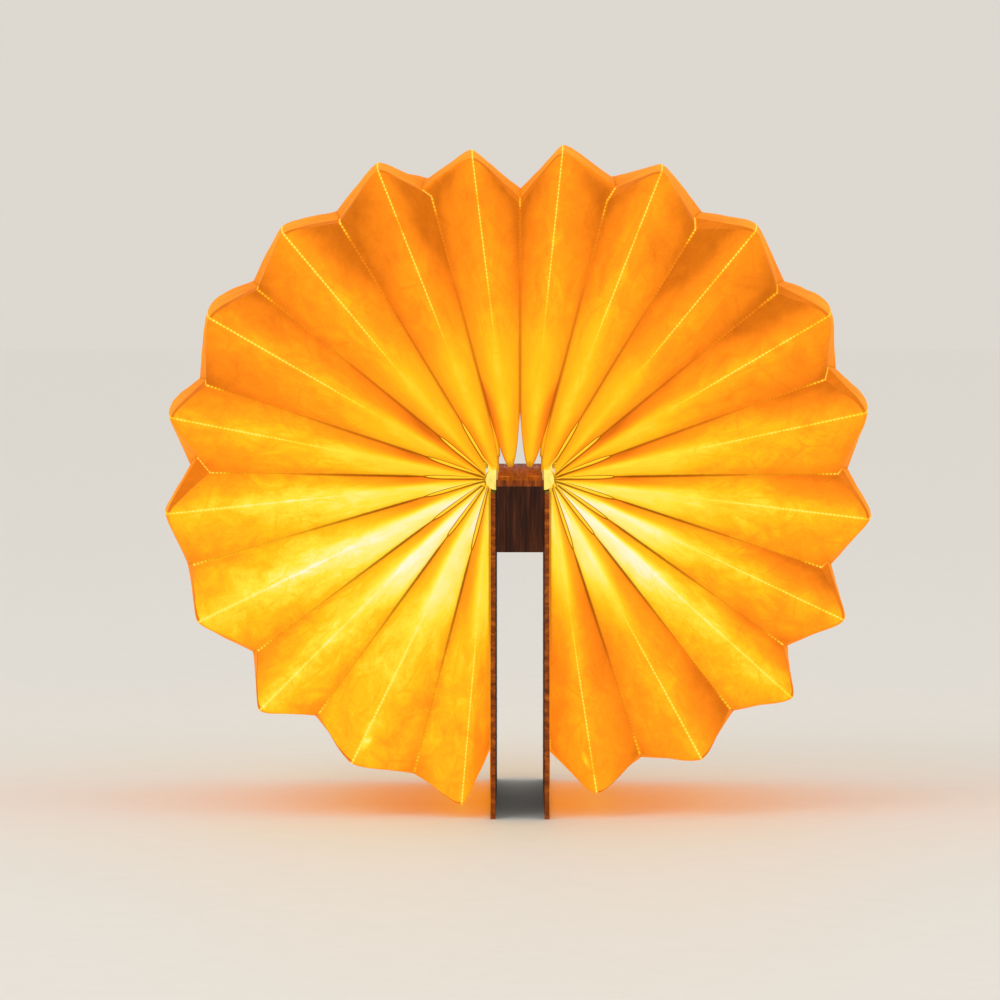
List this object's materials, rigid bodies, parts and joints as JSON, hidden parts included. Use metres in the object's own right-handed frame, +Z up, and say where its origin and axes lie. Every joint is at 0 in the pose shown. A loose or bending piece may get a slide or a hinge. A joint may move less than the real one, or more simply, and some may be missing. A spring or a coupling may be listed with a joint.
{
  "type": "pleated paper table lamp",
  "caption": "Folding book-shaped lamp: wooden covers folded back to back as a foot, a hinged spine with light bars, and a fan of pleated paper over the top.",
  "frame": {"origin": "middle of the footprint on the table, halfway between the two covers and halfway along the spine", "axes": "+Z up; the spine and the hinge axes lie along Y, with the charging socket at the +Y end; +X to the right in the picture's view, which looks along +Y"},
  "size_m": [0.3658, 0.216, 0.3381],
  "materials": {
    "wood": "satin",
    "paper": "matte",
    "brass": "satin",
    "steel": "satin",
    "aluminium": "satin",
    "diffuser": "matte",
    "strip": "satin",
    "cell": "satin",
    "nickel": "polished",
    "board": "satin",
    "lead": "satin",
    "black_plastic": "satin"
  },
  "bodies": {
    "spine": {"spine_body": "wood", "spine_lid": "wood", "lid_screws": "steel", "keeper_magnets": "steel", "battery_cell": "cell", "battery_contacts": "nickel", "battery_leads": "lead", "control_board": "board", "usb_socket": "nickel", "opening_sensor": "black_plastic", "led_leads": "lead", "led_rail_left": "aluminium", "led_strip_left": "strip", "light_bar_left": "diffuser", "spine_brackets_left": "brass", "spine_bracket_screws_left": "steel", "hinge_pins_left": "steel", "led_rail_right": "aluminium", "led_strip_right": "strip", "light_bar_right": "diffuser", "spine_brackets_right": "brass", "spine_bracket_screws_right": "steel", "hinge_pins_right": "steel"},
    "cover_left": {"cover_left": "wood", "cover_leaves_left": "brass", "cover_leaf_screws_left": "steel", "cover_magnets_left": "steel", "shade_flap_left": "paper"},
    "pleat_left_01": {"pleat_left_01": "paper"},
    "pleat_left_02": {"pleat_left_02": "paper"},
    "pleat_left_03": {"pleat_left_03": "paper"},
    "pleat_left_04": {"pleat_left_04": "paper"},
    "pleat_left_05": {"pleat_left_05": "paper"},
    "pleat_left_06": {"pleat_left_06": "paper"},
    "pleat_left_07": {"pleat_left_07": "paper"},
    "pleat_left_08": {"pleat_left_08": "paper"},
    "pleat_left_09": {"pleat_left_09": "paper"},
    "pleat_left_10": {"pleat_left_10": "paper"},
    "cover_right": {"cover_right": "wood", "cover_leaves_right": "brass", "cover_leaf_screws_right": "steel", "cover_magnets_right": "steel", "shade_flap_right": "paper", "sensor_magnet": "steel"},
    "pleat_right_01": {"pleat_right_01": "paper"},
    "pleat_right_02": {"pleat_right_02": "paper"},
    "pleat_right_03": {"pleat_right_03": "paper"},
    "pleat_right_04": {"pleat_right_04": "paper"},
    "pleat_right_05": {"pleat_right_05": "paper"},
    "pleat_right_06": {"pleat_right_06": "paper"},
    "pleat_right_07": {"pleat_right_07": "paper"},
    "pleat_right_08": {"pleat_right_08": "paper"},
    "pleat_right_09": {"pleat_right_09": "paper"},
    "pleat_right_10": {"pleat_right_10": "paper"}
  },
  "joints": [
    {"name": "cover_left_hinge", "type": "hinge", "parent": "spine", "child": "cover_left", "pos_m": [-0.015, 0, 0.17], "axis": [0, 1, 0], "range_deg": [0, 180]},
    {"name": "pleat_left_01_fold", "type": "hinge", "parent": "spine", "child": "pleat_left_01", "pos_m": [-0.01463, 0, 0.16998], "axis": [0, 1, 0], "range_deg": [0, 175.01], "deforming": ["pleat_left_01"]},
    {"name": "pleat_left_02_fold", "type": "hinge", "parent": "spine", "child": "pleat_left_02", "pos_m": [-0.01388, 0, 0.16974], "axis": [0, 1, 0], "range_deg": [0, 154.01], "deforming": ["pleat_left_02"]},
    {"name": "pleat_left_03_fold", "type": "hinge", "parent": "spine", "child": "pleat_left_03", "pos_m": [-0.01312, 0, 0.16922], "axis": [0, 1, 0], "range_deg": [0, 135.01], "deforming": ["pleat_left_03"]},
    {"name": "pleat_left_04_fold", "type": "hinge", "parent": "spine", "child": "pleat_left_04", "pos_m": [-0.01238, 0, 0.16836], "axis": [0, 1, 0], "range_deg": [0, 116.01], "deforming": ["pleat_left_04"]},
    {"name": "pleat_left_05_fold", "type": "hinge", "parent": "spine", "child": "pleat_left_05", "pos_m": [-0.01162, 0, 0.16696], "axis": [0, 1, 0], "range_deg": [0, 96.01], "deforming": ["pleat_left_05"]},
    {"name": "pleat_left_06_fold", "type": "hinge", "parent": "spine", "child": "pleat_left_06", "pos_m": [-0.01087, 0, 0.165], "axis": [0, 1, 0], "range_deg": [0, 79.01], "deforming": ["pleat_left_06"]},
    {"name": "pleat_left_07_fold", "type": "hinge", "parent": "spine", "child": "pleat_left_07", "pos_m": [-0.01013, 0, 0.16156], "axis": [0, 1, 0], "range_deg": [0, 60.01], "deforming": ["pleat_left_07"]},
    {"name": "pleat_left_08_fold", "type": "hinge", "parent": "spine", "child": "pleat_left_08", "pos_m": [-0.00937, 0, 0.15454], "axis": [0, 1, 0], "range_deg": [0, 40.01], "deforming": ["pleat_left_08"]},
    {"name": "pleat_left_09_fold", "type": "hinge", "parent": "spine", "child": "pleat_left_09", "pos_m": [-0.00613, 0, 0.14959], "axis": [0, 1, 0], "range_deg": [0, 21.51], "deforming": ["pleat_left_09"]},
    {"name": "pleat_left_10_fold", "type": "hinge", "parent": "spine", "child": "pleat_left_10", "pos_m": [-0.00237, 0, 0.14343], "axis": [0, 1, 0], "range_deg": [0, 7.01], "deforming": ["pleat_left_10"]},
    {"name": "cover_right_hinge", "type": "hinge", "parent": "spine", "child": "cover_right", "pos_m": [0.015, 0, 0.17], "axis": [0, -1, 0], "range_deg": [0, 180]},
    {"name": "pleat_right_01_fold", "type": "hinge", "parent": "spine", "child": "pleat_right_01", "pos_m": [0.01463, 0, 0.16997], "axis": [0, -1, 0], "range_deg": [0, 171.51], "deforming": ["pleat_right_01"]},
    {"name": "pleat_right_02_fold", "type": "hinge", "parent": "spine", "child": "pleat_right_02", "pos_m": [0.01388, 0, 0.16971], "axis": [0, -1, 0], "range_deg": [0, 151.51], "deforming": ["pleat_right_02"]},
    {"name": "pleat_right_03_fold", "type": "hinge", "parent": "spine", "child": "pleat_right_03", "pos_m": [0.01312, 0, 0.16917], "axis": [0, -1, 0], "range_deg": [0, 132.01], "deforming": ["pleat_right_03"]},
    {"name": "pleat_right_04_fold", "type": "hinge", "parent": "spine", "child": "pleat_right_04", "pos_m": [0.01238, 0, 0.16834], "axis": [0, -1, 0], "range_deg": [0, 115.51], "deforming": ["pleat_right_04"]},
    {"name": "pleat_right_05_fold", "type": "hinge", "parent": "spine", "child": "pleat_right_05", "pos_m": [0.01162, 0, 0.16701], "axis": [0, -1, 0], "range_deg": [0, 97.01], "deforming": ["pleat_right_05"]},
    {"name": "pleat_right_06_fold", "type": "hinge", "parent": "spine", "child": "pleat_right_06", "pos_m": [0.01087, 0, 0.16491], "axis": [0, -1, 0], "range_deg": [0, 78.01], "deforming": ["pleat_right_06"]},
    {"name": "pleat_right_07_fold", "type": "hinge", "parent": "spine", "child": "pleat_right_07", "pos_m": [0.01013, 0, 0.16147], "axis": [0, -1, 0], "range_deg": [0, 59.51], "deforming": ["pleat_right_07"]},
    {"name": "pleat_right_08_fold", "type": "hinge", "parent": "spine", "child": "pleat_right_08", "pos_m": [0.00937, 0, 0.15433], "axis": [0, -1, 0], "range_deg": [0, 39.51], "deforming": ["pleat_right_08"]},
    {"name": "pleat_right_09_fold", "type": "hinge", "parent": "spine", "child": "pleat_right_09", "pos_m": [0.00613, 0, 0.14959], "axis": [0, -1, 0], "range_deg": [0, 21.51], "deforming": ["pleat_right_09"]},
    {"name": "pleat_right_10_fold", "type": "hinge", "parent": "spine", "child": "pleat_right_10", "pos_m": [0.00237, 0, 0.13899], "axis": [0, -1, 0], "range_deg": [0, 6.01], "deforming": ["pleat_right_10"]}
  ],
  "couplings": [
    {"joint": "pleat_left_01_fold", "follows": "cover_left_hinge", "ratio": 0.97222},
    {"joint": "pleat_left_02_fold", "follows": "cover_left_hinge", "ratio": 0.85556},
    {"joint": "pleat_left_03_fold", "follows": "cover_left_hinge", "ratio": 0.75},
    {"joint": "pleat_left_04_fold", "follows": "cover_left_hinge", "ratio": 0.64444},
    {"joint": "pleat_left_05_fold", "follows": "cover_left_hinge", "ratio": 0.53333},
    {"joint": "pleat_left_06_fold", "follows": "cover_left_hinge", "ratio": 0.43889},
    {"joint": "pleat_left_07_fold", "follows": "cover_left_hinge", "ratio": 0.33333},
    {"joint": "pleat_left_08_fold", "follows": "cover_left_hinge", "ratio": 0.22222},
    {"joint": "pleat_left_09_fold", "follows": "cover_left_hinge", "ratio": 0.11944},
    {"joint": "pleat_left_10_fold", "follows": "cover_left_hinge", "ratio": 0.038889},
    {"joint": "pleat_right_01_fold", "follows": "cover_right_hinge", "ratio": 0.95278},
    {"joint": "pleat_right_02_fold", "follows": "cover_right_hinge", "ratio": 0.84167},
    {"joint": "pleat_right_03_fold", "follows": "cover_right_hinge", "ratio": 0.73333},
    {"joint": "pleat_right_04_fold", "follows": "cover_right_hinge", "ratio": 0.64167},
    {"joint": "pleat_right_05_fold", "follows": "cover_right_hinge", "ratio": 0.53889},
    {"joint": "pleat_right_06_fold", "follows": "cover_right_hinge", "ratio": 0.43333},
    {"joint": "pleat_right_07_fold", "follows": "cover_right_hinge", "ratio": 0.33056},
    {"joint": "pleat_right_08_fold", "follows": "cover_right_hinge", "ratio": 0.21944},
    {"joint": "pleat_right_09_fold", "follows": "cover_right_hinge", "ratio": 0.11944},
    {"joint": "pleat_right_10_fold", "follows": "cover_right_hinge", "ratio": 0.033333}
  ]
}
